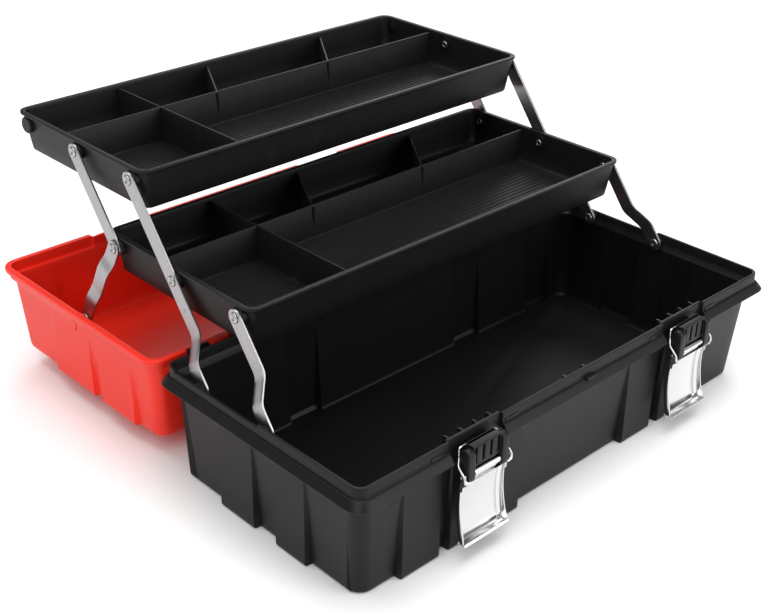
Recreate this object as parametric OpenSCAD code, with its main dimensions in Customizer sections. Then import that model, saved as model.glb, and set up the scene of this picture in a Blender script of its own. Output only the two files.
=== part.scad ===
// Cantilever tool box: base tub, hinged lid, two trays carried by strip links, two toggle latches.
// The lid lies open behind the base and the trays stand swung out over it.
// X runs along the length, Y to the rear, Z up; the origin is the middle of the base's underside.

/* [Base tub] */
// Overall length of base and lid
body_l = 430; // [360:1:520]
// Overall depth of base and lid, front to rear
body_w = 205; // [180:1:260]
// Height of the flange's lower edge
flange_z = 76; // [60:1:110]
// Height of the narrow ledge the lid closes on
ledge_up = 6; // [5:0.5:9]
// Height of the lip above the ledge
lip_up = 8; // [6:0.5:8.5]
// Wall thickness of base and lid
wall = 2.5; // [2:0.1:3.2]
// How far the walls lean in from flange to floor, at the ends
draft_x = 4.8; // [2:0.1:7]
// How far the walls lean in from flange to floor, front and rear
draft_y = 5.5; // [2:0.1:7]
// Overhang of the flange over the wall
over = 8.7; // [8.2:0.1:10]
// Corner radius of the flange
corner_r = 12; // [9:0.5:18]

/* [Lid] */
// Depth of the lid
lid_deep = 71; // [70:0.5:90]
// How far the lid walls lean in
lid_draft = 4.3; // [2:0.1:6]

/* [Trays] */
// Room between the flange's edge and a tray's end
tray_side = 26; // [25:0.5:40]
// Depth of a tray, front to rear
tray_w = 163; // [150:1:165]
// Height of a tray
tray_h = 31; // [20:0.5:31]
// Wall thickness of a tray
tray_wall = 2; // [1.6:0.1:2.6]
// Offset of the long divider to the rear of the middle
long_div_y = 20.5; // [0:0.5:40]
// Place of the full cross divider
cross_div_x = -102; // [-130:1:-80]
// Pitch of the fine floor ribs
rib_pitch = 4.4; // [4:0.1:8]

/* [Links] */
// Spacing of the tray pivots
pivot_gap = 68; // [64:0.5:68]
// Length of a link from pivot to pivot
crank = 74; // [72:0.5:75]
// Angle of the links above the level, trays out
open_deg = 52.6; // [50:0.1:58]
// Width of a link strip
strip_w = 12; // [10:0.2:12.4]
// Thickness of a link strip
strip_t = 1.8; // [1.4:0.1:2]
// Radius of a rivet shank
rivet_r = 1.9; // [1.5:0.1:1.9]

/* [Latches] */
// Distance of each latch from the middle
latch_x = 110; // [80:1:130]
// Width of a latch plate
latch_w = 46; // [44:0.5:47]

/* [Carry handle] */
// Distance between the handle's two arms
handle_l = 140; // [110:1:200]
// Reach of the handle from its pivots
handle_reach = 42; // [34:1:60]

/* [Clearances] */
// Gap between faces that move past each other
gap = 0.3; // [0.25:0.05:0.4]
// Radial clearance of a turning fit
fit = 0.05; // [0.03:0.01:0.08]

/* [Hidden] */
$fn = 32;
eps = 0.01;
hl = body_l / 2;
hw = body_w / 2;
ledge_z = flange_z + ledge_up;
rim_z = ledge_z + lip_up;
// hinge line, just behind the rear flange
hinge_y = hw + 1.5;
hinge_z = ledge_z + 2.5;
knuckle_r = 4;
pin_r = 1.5;
// rim insets, measured in from the flange edge
ledge_in = 4.2;
lip_in = 5.5;
lip_t = 2.4;
lid_rim_in = 4.6;
lid_wall_in = 6.2;
lid_rim_z = 2 * hinge_z - ledge_z;
lid_mid_y = 2 * hinge_y;
// planes along X: trays' side, base side and lid link
tray_hl = hl - tray_side;
boss_x = tray_hl + gap;
near_x = boss_x + gap;
post_x = hl - 11.5;
far_x = post_x - gap - strip_t;
over_x = near_x + strip_t + gap;
head_t = 0.9;
head_r = 3.9;
// pivots in the side view, as [y, z]
front_p = [-4, ledge_z + 1];
rear_p = [front_p[0] + pivot_gap, front_p[1]];
step_v = [crank * cos(open_deg), crank * sin(open_deg)];
tray_up = 8.8;
tray_tail = tray_hl - 5.6;
low_mid = rear_p + step_v;
top_mid = low_mid + step_v + [pivot_gap, 0];
low_rear = low_mid + [pivot_gap, 0];
lid_eye = [lid_mid_y + 5.5, lid_rim_z - 14];
lid_link_v = lid_eye - low_rear;
lid_link_l = norm(lid_link_v);
lid_link_deg = atan2(lid_link_v[1], lid_link_v[0]);
// where a strip's side view runs on past its end pivots
strip_end = strip_w / 2 + 1;
bump_at = 22;
eye_out = hl - 15.5;
// latch bay and latch
bay_hw = latch_w / 2 + 1.5;
bay_y = -(hw - 7.9);
ear_out = latch_w / 2 - 2.5;
ear_in = ear_out - 5;
pivot_y = -(hw + 3.5);
pivot_z = ledge_z - 15.6;
bail_b = [pivot_y - 1.6, pivot_z - 5.4];
wire_r = 1;
bail_rise = 5;
bail_knee = [4.6, 15];
bar_y = -(hw - 4.2);
bar_z = ledge_z + 6.2;
plate_r = 77;
plate_t = 1.2;
latch_pin_r = 1.25;
// outer pilasters as [low, high] along each wall
front_ribs = [[-170, -136], [-127, -60], [54, 87], [97, 130]];
end_ribs = [[-43, -13], [9, 45]];
rear_ribs = [[-112, -78], [62, 96], [150, 184]];
lid_end_ribs = [[-11, 40], [-65, -21]];
lid_front_ribs = [[-175, -140], [-70, -35], [35, 70], [140, 175]];
hinge_sites = [-168, -56, 56, 168];
slant_divs = [[-49, -18], [65.5, 104]];
knuckle_l = 17;
lug_y = 0;

// a flat rectangle with round corners
module slab(hx, hy, r, h) {
    linear_extrude(h) {
        square([2 * hx, 2 * (hy - r)], center = true);
        square([2 * (hx - r), 2 * hy], center = true);
        for (sx = [-1, 1], sy = [-1, 1]) translate([sx * (hx - r), sy * (hy - r)]) circle(r);
    }
}

// a drafted block between levels given as [z, half length, half width, corner radius]
module drafted(levels) {
    hull() for (v = levels) translate([0, 0, v[0]]) slab(v[1], v[2], v[3], eps);
}

module both_ends() {
    children();
    mirror([1, 0, 0]) children();
}

module along_x(x0, x1, y, z, r) {
    translate([x0, y, z]) rotate([0, 90, 0]) cylinder(r = r, h = x1 - x0);
}

module box(x0, x1, y0, y1, z0, z1) {
    translate([x0, y0, z0]) cube([x1 - x0, y1 - y0, z1 - z0]);
}

// pilasters that stand out of the drafted walls, in by t
module pilasters(t) {
    top_x = hl - over - t;
    top_y = hw - over - t;
    z0 = t > 0 ? wall : 0.8;
    z1 = flange_z + (t > 0 ? -4 : 1);
    for (r = front_ribs) box(r[0] + t, r[1] - t, -top_y, -top_y + 9 + t, z0, z1);
    for (r = rear_ribs) box(r[0] + t, r[1] - t, top_y - 9 - t, top_y, z0, z1);
    both_ends() for (r = end_ribs) box(top_x - 9 - t, top_x, r[0] + t, r[1] - t, z0, z1);
}

module ring(r1, r0, x0, x1, y, z) {
    difference() {
        along_x(x0, x1, y, z, r1);
        along_x(x0 - 1, x1 + 1, y, z, r0);
    }
}

module base_shell() color([0.05, 0.05, 0.055]) {
    wx = hl - over;
    wy = hw - over;
    difference() {
        union() {
            drafted([[0, wx - draft_x - 2.4, wy - draft_y - 2.4, 9],
                [0.9, wx - draft_x - 0.8, wy - draft_y - 0.8, 10],
                [3, wx - draft_x, wy - draft_y, 11], [flange_z + 4, wx, wy, 12]]);
            pilasters(0);
            difference() {
                drafted([[flange_z, hl, hw, corner_r], [flange_z + 0.8, hl, hw, corner_r],
                    [ledge_z - eps, hl - ledge_in, hw - ledge_in, corner_r - 3]]);
                drafted([[flange_z - 1, hl - 2, hw - 2, corner_r - 2],
                    [ledge_z - 2.4, hl - ledge_in - 2, hw - ledge_in - 2, corner_r - 4]]);
            }
            translate([0, 0, flange_z]) slab(hl - lip_in, hw - lip_in, corner_r - 4, rim_z - flange_z);
            for (k = hinge_sites) base_knuckle(k);
        }
        // cavity: tub, flare under the lip, lip
        drafted([[wall, wx - draft_x - wall - 2, wy - draft_y - wall - 2, 7],
            [wall + 2, wx - draft_x - wall, wy - draft_y - wall, 9],
            [flange_z + 2, wx - wall, wy - wall, 10]]);
        pilasters(wall);
        drafted([[flange_z + 2 - eps, wx - wall, wy - wall, 9],
            [ledge_z, hl - lip_in - lip_t, hw - lip_in - lip_t, corner_r - 6]]);
        translate([0, 0, ledge_z]) slab(hl - lip_in - lip_t, hw - lip_in - lip_t, corner_r - 6, lip_up + 1);
        // the end lips stand lower behind the front links
        both_ends() box(hl - lip_in - lip_t - 4, hl, -2, hw - 16, rim_z - 2.2, rim_z + 1);
        for (s = [-1, 1]) translate([s * latch_x, 0, 0]) {
            box(-bay_hw, bay_hw, -hw - 1, bay_y, flange_z - 12, rim_z + 1);
        }
        for (k = hinge_sites) along_x(k - gap, k + knuckle_l + gap, hinge_y, hinge_z, knuckle_r + gap);
        along_x(-hl, hl, hinge_y, hinge_z, pin_r + fit);
        both_ends() for (p = [front_p, rear_p])
            along_x(post_x - 1, hl - lip_in - 1.4, p[0], p[1], rivet_r + fit);
        // slot for a padlock in the front ledge
        box(-2.5, 6, -hw - 1, -hw + lip_in - 0.5, ledge_z - 6, ledge_z - 2);
    }
    // strips that carry the rim on behind the latch bays
    for (s = [-1, 1]) translate([s * latch_x, 0, 0]) {
        box(-bay_hw - 2.2, bay_hw + 2.2, bay_y, bay_y + 2.2, flange_z - 4, rim_z);
        for (e = [-1, 1]) translate([e * (bay_hw + 1.1), 0, 0])
            box(-1.1, 1.1, -hw + lip_in, bay_y + 2.2, flange_z + 1, rim_z);
        for (e = [-1, 1]) translate([e * (bay_hw + 9), 0, 0])
            box(-6.5, 6.5, -hw + lid_rim_in + gap, bay_y, ledge_z - 1, ledge_z + 3.2);
        for (k = [-1.5:1:1.5]) translate([k * 13, 0, 0])
            box(-0.8, 0.8, bay_y + 2.1, bay_y + 7.5, ledge_z - 3, rim_z - 1.4);
    }
    // two tabs inside the front lip
    for (k = [-20, 0]) translate([k, 0, 0]) box(-1.5, 1.5, bay_y - 0.2, bay_y + 3, ledge_z - 2, rim_z - 0.8);
    both_ends() for (p = [front_p, rear_p]) base_post(p);
}

// knuckle that stands beside each lid knuckle
module base_knuckle(k) {
    along_x(k - knuckle_l - gap, k - gap, hinge_y, hinge_z, knuckle_r);
    box(k - knuckle_l - gap, k - gap, hw - 5, hinge_y + 1.5, flange_z + 1.5, ledge_z - gap);
}

// boss on the end wall that carries a link
module base_post(p) {
    difference() {
        along_x(post_x, hl - lip_in - 0.4, p[0], p[1], 5);
        along_x(post_x - 1, hl - lip_in - 1.4, p[0], p[1], rivet_r + fit);
    }
}

module lid_place() {
    translate([0, lid_mid_y, lid_rim_z]) children();
}

module lid_shell() color([0.82, 0.06, 0.03]) {
    ox = hl - lid_wall_in;
    oy = hw - lid_wall_in;
    lid_place() difference() {
        union() {
            drafted([[-4.2, hl - 0.5, hw - 0.5, corner_r + 0.3], [-3.4, hl, hw, corner_r + 0.6],
                [-1, hl, hw, corner_r + 0.6], [-eps, hl - 0.8, hw - 0.8, corner_r + 0.3]]);
            drafted([[-9.5, hl - 3, hw - 3, corner_r - 2], [-4, hl - 2.2, hw - 2.2, corner_r - 1]]);
            drafted([[-13, ox, oy, corner_r - 4], [-9, hl - 3, hw - 3, corner_r - 2]]);
            drafted([[-lid_deep, ox - lid_draft - 2, oy - lid_draft - 2, 8],
                [-lid_deep + 0.8, ox - lid_draft - 0.6, oy - lid_draft - 0.6, 9],
                [-lid_deep + 2.4, ox - lid_draft, oy - lid_draft, 10], [-12, ox, oy, corner_r - 4]]);
            lid_pilasters(0);
            // stepped band on the front wall
            box(-hl + 16, hl - 16, hw - 9, hw - 3.4, -17, -9);
            handle_lugs();
        }
        translate([0, 0, -8.6]) slab(hl - lid_rim_in, hw - lid_rim_in, corner_r - 4, 10);
        drafted([[-lid_deep + wall, ox - lid_draft - wall - 2, oy - lid_draft - wall - 2, 6],
            [-lid_deep + wall + 2, ox - lid_draft - wall, oy - lid_draft - wall, 8],
            [-8.5, ox - wall + 0.2, oy - wall + 0.2, 8]]);
        lid_pilasters(wall);
        for (s = [-1, 1]) translate([s * latch_x, 0, 0])
            box(-bay_hw, bay_hw, -bay_y + 0.35 + 2.05, hw + 1, -13, 1);
        translate([0, -lid_mid_y, -lid_rim_z]) {
            for (k = hinge_sites)
                along_x(k - knuckle_l - 2 * gap, k, hinge_y, hinge_z, knuckle_r + gap);
        }
    }
    lid_place() for (s = [-1, 1]) translate([s * latch_x, 0, 0]) {
        // tongue and keeper of the latch bay
        box(-bay_hw + 0.6, bay_hw - 0.6, -bay_y + 0.35, -bay_y + 2.4, -13.5, -eps);
        box(-bay_hw + 6, bay_hw - 6, -bay_y + 2.3, -bay_y + 4.7, -4.9, -1);
    }
    for (k = hinge_sites) lid_knuckle(k);
    both_ends() along_x(eye_out + 1.3, hl - 7, lid_eye[0], lid_eye[1], 5);
}

module lid_pilasters(t) {
    x = hl - lid_wall_in - 0.8 - t;
    z0 = -lid_deep + (t > 0 ? wall : 0.8);
    z1 = -17 - t;
    both_ends() for (r = lid_end_ribs)
        box(x - 9, x, r[0] + t, r[1] - t, z0, z1);
    y = hw - lid_wall_in - 0.8 - t;
    for (r = lid_front_ribs)
        box(r[0] + t, r[1] - t, y - 9, y, z0, z1);
}

module lid_knuckle(k) {
    difference() {
        union() {
            along_x(k, k + knuckle_l, hinge_y, hinge_z, knuckle_r);
            box(k, k + knuckle_l, hinge_y - 1.5, hinge_y + 5.5, hinge_z - 2, hinge_z + 2.4);
        }
        along_x(k - 1, k + knuckle_l + 1, hinge_y, hinge_z, pin_r + fit);
    }
}

// two lugs on the lid's outer top that hold the handle pins
module handle_lugs() {
    both_ends() difference() {
        union() {
            box(handle_l / 2 + 4.3, handle_l / 2 + 10, lug_y - 7, lug_y + 7, -lid_deep - 8, -lid_deep + 1);
            along_x(handle_l / 2 + 4.3, handle_l / 2 + 10, lug_y, -lid_deep - 8.5, 7);
        }
        along_x(handle_l / 2, handle_l / 2 + 8.5, lug_y, -lid_deep - 8.5, 2.5 + fit);
    }
}

module lid_handle() color([0.06, 0.06, 0.065]) lid_place() translate([0, lug_y, -lid_deep - 8.5]) {
    difference() {
        union() {
            both_ends() {
                along_x(handle_l / 2 - 6, handle_l / 2 + 4, 0, 0, 6.5);
                box(handle_l / 2 - 6, handle_l / 2 + 4, 0, handle_reach - 7, -6, 5);
            }
            along_x(-handle_l / 2 - 4, handle_l / 2 + 4, handle_reach - 7, -0.5, 7);
        }
        both_ends() along_x(handle_l / 2 - 7, handle_l / 2 + 5, 0, 0, 2.5 + fit);
    }
}

module handle_pins() color([0.75, 0.76, 0.78]) lid_place() both_ends() {
    along_x(handle_l / 2 - 6, handle_l / 2 + 8.5, lug_y, -lid_deep - 8.5, 2.5);
}

module hinge_pin() color([0.7, 0.71, 0.72]) {
    x0 = hinge_sites[0] - knuckle_l - gap;
    x1 = hinge_sites[3] + knuckle_l;
    along_x(x0, x1, hinge_y, hinge_z, pin_r);
}

module tray(mid) color([0.055, 0.055, 0.06]) {
    hx = tray_hl;
    hy = tray_w / 2;
    translate([0, mid[0], mid[1] + tray_up]) {
        difference() {
            union() {
                translate([0, 0, -2.2]) slab(hx, hy, 9, 2.2);
                drafted([[-tray_h, hx - 6.6, hy - 6.6, 6], [-tray_h + 1.4, hx - 5.4, hy - 5.4, 7],
                    [-1, hx - 1.8, hy - 1.8, 8]]);
                both_ends() for (k = [-1:1]) along_x(hx - 8, boss_x, k * pivot_gap, -tray_up, 6.4);
            }
            difference() {
                drafted([[-tray_h + tray_wall, hx - 6.6 - tray_wall, hy - 6.6 - tray_wall, 5],
                    [eps, hx - 1.8 - tray_wall, hy - 1.8 - tray_wall, 6]]);
                both_ends() for (k = [-1:1]) along_x(tray_tail, boss_x, k * pivot_gap, -tray_up, 5);
            }
            both_ends() for (k = [-1:1]) along_x(hx - 9, boss_x + 1, k * pivot_gap, -tray_up, rivet_r + fit);
            // flat seat for the rivet's tail
            both_ends() for (k = [-1:1]) along_x(hx - 9, tray_tail, k * pivot_gap, -tray_up, 3.6);
        }
        tray_dividers(hx, hy);
    }
}

module tray_dividers(hx, hy) {
    z0 = -tray_h + 1;
    intersection() {
        union() {
            box(-hx, hx, long_div_y - 0.9, long_div_y + 0.9, z0, -2.4);
            box(cross_div_x - 0.9, cross_div_x + 0.9, -hy, hy, z0, -2.4);
            for (d = slant_divs) {
                run = hy - long_div_y;
                ang = atan2(run, d[1] - d[0]);
                translate([d[0], long_div_y, z0]) rotate([0, 0, ang])
                    translate([0, -0.8, 0]) cube([run + 30, 1.6, tray_h - 4]);
            }
            y1 = long_div_y - 4;
            for (y = [y1:-rib_pitch:-hy + 12]) box(cross_div_x + 6, hx - 14, y - 0.4, y + 0.4, z0, z0 + 1.6);
            for (y = [y1:-rib_pitch:-hy + 12]) box(-hx + 14, cross_div_x - 6, y - 0.4, y + 0.4, z0, z0 + 1.6);
        }
        drafted([[-tray_h + 0.5, hx - 7, hy - 7, 6], [-1, hx - 2.6, hy - 2.6, 8]]);
    }
}

module lower_tray() tray(low_mid);
module upper_tray() tray(top_mid);

// maps a strip drawn as (along, x, across) to the side view
module side_turn(p, deg) {
    multmatrix([[0, 1, 0, 0], [cos(deg), 0, -sin(deg), p[0]], [sin(deg), 0, cos(deg), p[1]], [0, 0, 0, 1]])
        children();
}

// strip of the given length whose inner face follows the (along, x) stations, with bores
module strip(len, stations, bores) {
    n = len(stations);
    face = [for (v = stations) v];
    back = [for (i = [n - 1:-1:0]) [stations[i][0], stations[i][1] + strip_t]];
    difference() {
        intersection() {
            linear_extrude(strip_w + 2, center = true) polygon(concat(face, back));
            translate([0, hl + strip_w, 0]) rotate([90, 0, 0]) linear_extrude(hl) {
                translate([0, -strip_w / 2]) square([len, strip_w]);
                circle(strip_w / 2);
                translate([len, 0]) circle(strip_w / 2);
            }
        }
        for (b = bores) translate([b, hl + strip_w, 0]) rotate([90, 0, 0])
            cylinder(r = rivet_r + fit, h = hl);
    }
}

zinc = [0.72, 0.73, 0.75];
// base links step in from the end wall to the trays
base_jog = [16, 34];
lid_jog = [12, 22, 46, 56];
lid_jog_out = 3.6;
function base_path(len) = [[-strip_end, far_x], [base_jog[0], far_x], [base_jog[1], near_x],
    [len + strip_end, near_x]];

module front_link() color(zinc) side_turn(front_p, open_deg) strip(crank, base_path(crank), [0, crank]);
module long_link() color(zinc) side_turn(rear_p, open_deg) difference() {
    strip(2 * crank, base_path(2 * crank), [0, crank, 2 * crank]);
    translate([crank - bump_at, near_x + strip_t + 0.9, 0]) sphere(r = 1.3, $fn = 16);
}
module rear_link() color(zinc) side_turn(low_rear, open_deg)
    strip(crank, [[-strip_end, near_x], [crank + strip_end, near_x]], [0, crank]);
module lid_link() color(zinc) side_turn(low_rear, lid_link_deg)
    strip(lid_link_l, [[-strip_end, over_x], [lid_jog[0], over_x], [lid_jog[1], over_x + lid_jog_out],
        [lid_jog[2], over_x + lid_jog_out], [lid_jog[3], eye_out - strip_t],
        [lid_link_l + strip_end, eye_out - strip_t]], [0, lid_link_l]);

module front_link_right() front_link();
module front_link_left() mirror([1, 0, 0]) front_link();
module long_link_right() long_link();
module long_link_left() mirror([1, 0, 0]) long_link();
module rear_link_right() rear_link();
module rear_link_left() mirror([1, 0, 0]) rear_link();
module lid_link_right() lid_link();
module lid_link_left() mirror([1, 0, 0]) lid_link();

// tubular rivet with a rolled head; x0 tail, x1 face under the head, dir +1 when the head is outboard
module rivet(p, x0, x1, dir, tail) color([0.78, 0.79, 0.8]) {
    translate([x1, p[0], p[1]]) rotate([0, dir * 90, 0]) rotate_extrude($fn = 32) {
        polygon([[0, 0], [head_r, 0], [head_r, 0.35], [head_r - 0.6, head_t],
            [1.9, head_t], [1.5, 0.4], [0, 0.4]]);
        h = abs(x1 - x0);
        translate([0, -h]) square([rivet_r, h + 0.1]);
        if (tail) translate([0, -h - 0.8]) polygon([[0, 0], [2.6, 0], [3.2, 0.8], [0, 0.8]]);
    }
}

module base_front_rivets() both_ends() rivet(front_p, hl - lip_in - 1.4, far_x - gap, -1, false);
module base_rear_rivets() both_ends() rivet(rear_p, hl - lip_in - 1.4, far_x - gap, -1, false);
module tray_rivet(mid, k, outer) both_ends()
    rivet(mid + [k * pivot_gap, 0], tray_tail, outer + gap, 1, true);
module lower_front_rivets() tray_rivet(low_mid, -1, near_x + strip_t);
module lower_middle_rivets() tray_rivet(low_mid, 0, near_x + strip_t);
module lower_rear_rivets() tray_rivet(low_mid, 1, over_x + strip_t);
module upper_front_rivets() tray_rivet(top_mid, -1, near_x + strip_t);
module upper_middle_rivets() tray_rivet(top_mid, 0, near_x + strip_t);
module lid_link_rivets() both_ends() rivet(lid_eye, eye_out - strip_t - 0.4, eye_out, 1, false);

// hinge block of a latch, fixed in its bay
module latch_block() color([0.045, 0.045, 0.05]) {
    y0 = pivot_y - 1;
    difference() {
        union() {
            box(-ear_in - 0.1, ear_in + 0.1, y0, bar_y - 1.5, pivot_z + 4.1, ledge_z + 4);
            box(-ear_in + 1, ear_in - 1, bar_y - 2, bay_y, pivot_z + 6, ledge_z - gap);
            both_ends() {
                box(ear_in, ear_out, pivot_y - 3, bar_y - 1.5, pivot_z - 2, ledge_z - 0.5);
                along_x(ear_in, ear_out, pivot_y + 0.5, ledge_z - 0.5, 3.2);
                along_x(ear_in, ear_out, pivot_y, pivot_z - 2, 3);
            }
        }
        for (k = [-1.5:1:1.5]) translate([k * 7, 0, 0])
            box(-1, 1, y0 - 1, y0 + 3.2, pivot_z + 6.5, ledge_z + 2.4);
        along_x(-ear_out - 1, ear_out + 1, pivot_y, pivot_z, latch_pin_r);
    }
}

module latch_pin() color([0.8, 0.8, 0.82]) {
    along_x(-ear_out - 1, ear_out + 1, pivot_y, pivot_z, latch_pin_r);
    both_ends() along_x(ear_out + 0.05, ear_out + 1, pivot_y, pivot_z, 2);
}

// sheet lever with turned-up sides, hanging from the pin
module latch_plate() color([0.86, 0.87, 0.88]) {
    cy = pivot_y + 3 - plate_r;
    cz = pivot_z - 25.4;
    hwp = latch_w / 2;
    z_low = cz - 24;
    z_top = pivot_z - 6.9;
    intersection() {
        ring(plate_r + plate_t, plate_r, -hwp, hwp, cy, cz, $fn = 96);
        box(-hwp, hwp, cy + plate_r / 2, 0, z_low, z_top);
    }
    difference() {
        intersection() {
            ring(plate_r + plate_t, plate_r - 4.5, -hwp, hwp, cy, cz, $fn = 96);
            box(-hwp, hwp, cy + plate_r / 2, 0, z_low, pivot_z - 3.6);
        }
        box(-hwp + plate_t, hwp - plate_t, cy, 0, 0, pivot_z);
        along_x(-hwp - 1, hwp + 1, bail_b[0], bail_b[1], wire_r + fit);
    }
    // tongue rolled round the pin
    difference() {
        union() {
            box(-ear_in + 0.5, ear_in - 0.5, pivot_y + 0.9, pivot_y + 2.1, z_top - 2.4, pivot_z);
            along_x(-ear_in + 0.5, ear_in - 0.5, pivot_y, pivot_z, 2.5);
        }
        along_x(-ear_in, ear_in, pivot_y, pivot_z, latch_pin_r + fit);
    }
    // lip turned forward along the bottom
    y_low = cy + sqrt(plate_r * plate_r - 24 * 24);
    box(-hwp, hwp, y_low - 5, y_low + 1, z_low - plate_t, z_low + eps);
    along_x(-hwp, hwp, y_low - 5, z_low - 0.2, 1.5);
}

module wire(a, b) {
    d = b - a;
    translate(a) rotate([0, acos(d[2] / norm(d)), atan2(d[1], d[0])])
        cylinder(r = wire_r, h = norm(d), $fn = 16);
    translate(b) sphere(r = wire_r * 1.08, $fn = 12);
}

module latch_bail() color([0.8, 0.8, 0.82]) {
    xi = bay_hw - 2.1;
    xo = latch_w / 2 + 2.5;
    b = bail_b;
    both_ends() {
        wire([ear_out + 0.7, b[0], b[1]], [xo, b[0], b[1]]);
        wire([xo, b[0], b[1]], [xo, b[0], b[1] + bail_rise]);
        wire([xo, b[0], b[1] + bail_rise], [xi, b[0] + bail_knee[0], b[1] + bail_knee[1]]);
        wire([xi, b[0] + bail_knee[0], b[1] + bail_knee[1]], [xi, bar_y, bar_z]);
        wire([xi, bar_y, bar_z], [-0.1, bar_y, bar_z]);
    }
}

module latch_block_left() translate([-latch_x, 0, 0]) latch_block();
module latch_block_right() translate([latch_x, 0, 0]) latch_block();
module latch_plate_left() translate([-latch_x, 0, 0]) latch_plate();
module latch_plate_right() translate([latch_x, 0, 0]) latch_plate();
module latch_bail_left() translate([-latch_x, 0, 0]) latch_bail();
module latch_bail_right() translate([latch_x, 0, 0]) latch_bail();
module latch_pin_left() translate([-latch_x, 0, 0]) latch_pin();
module latch_pin_right() translate([latch_x, 0, 0]) latch_pin();

base_shell();
lid_shell();
hinge_pin();
lower_tray();
upper_tray();
front_link_left();
front_link_right();
long_link_left();
long_link_right();
rear_link_left();
rear_link_right();
lid_link_left();
lid_link_right();
base_front_rivets();
base_rear_rivets();
lower_front_rivets();
lower_middle_rivets();
lower_rear_rivets();
upper_front_rivets();
upper_middle_rivets();
lid_link_rivets();
latch_block_left();
latch_plate_left();
latch_bail_left();
latch_pin_left();
latch_block_right();
latch_plate_right();
latch_bail_right();
latch_pin_right();
lid_handle();
handle_pins();
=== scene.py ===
import math

import bmesh
import bpy
from mathutils import Matrix, Vector


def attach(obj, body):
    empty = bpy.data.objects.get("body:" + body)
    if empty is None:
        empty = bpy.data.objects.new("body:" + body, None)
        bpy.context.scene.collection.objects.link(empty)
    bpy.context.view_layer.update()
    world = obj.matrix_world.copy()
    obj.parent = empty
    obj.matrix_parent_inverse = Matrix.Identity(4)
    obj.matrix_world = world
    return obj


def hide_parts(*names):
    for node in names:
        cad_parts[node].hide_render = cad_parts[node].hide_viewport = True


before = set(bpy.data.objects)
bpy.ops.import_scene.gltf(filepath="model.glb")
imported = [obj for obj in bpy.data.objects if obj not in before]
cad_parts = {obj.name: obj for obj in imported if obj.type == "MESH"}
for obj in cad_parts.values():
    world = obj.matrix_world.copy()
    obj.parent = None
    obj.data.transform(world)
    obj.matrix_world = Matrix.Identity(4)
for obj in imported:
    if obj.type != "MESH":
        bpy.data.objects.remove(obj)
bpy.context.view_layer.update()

mm = 0.001

# sizes shared by several pieces, in mm, the same as in the part's source
box = {"halfLength": 215.0, "halfWidth": 102.5, "wall": 2.5, "hingeY": 104.0, "hingeZ": 84.5,
       "lidMidY": 208.0, "lidRimZ": 87.0, "latchX": 110.0, "bayHalf": 24.5, "bayY": 94.6}
latchBays = [(s * box["latchX"] - box["bayHalf"], s * box["latchX"] + box["bayHalf"]) for s in (-1, 1)]
hingeSites = (-168, -56, 56, 168)


def meshObject(name, verts, faces, finish, body, replaces, sharp):
    mesh = bpy.data.meshes.new(name)
    mesh.from_pydata([[c * mm for c in v] for v in verts], [], faces)
    bm = bmesh.new()
    bm.from_mesh(mesh)
    bmesh.ops.remove_doubles(bm, verts=bm.verts, dist=1e-7)
    bmesh.ops.recalc_face_normals(bm, faces=bm.faces)
    bm.to_mesh(mesh)
    bm.free()
    mesh.shade_smooth()
    mesh.set_sharp_from_angle(angle=math.radians(sharp))
    piece = bpy.data.objects.new(name, mesh)
    bpy.context.scene.collection.objects.link(piece)
    mesh.materials.append(finish)
    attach(piece, body)
    if replaces:
        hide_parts(*replaces)
    return piece


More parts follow.
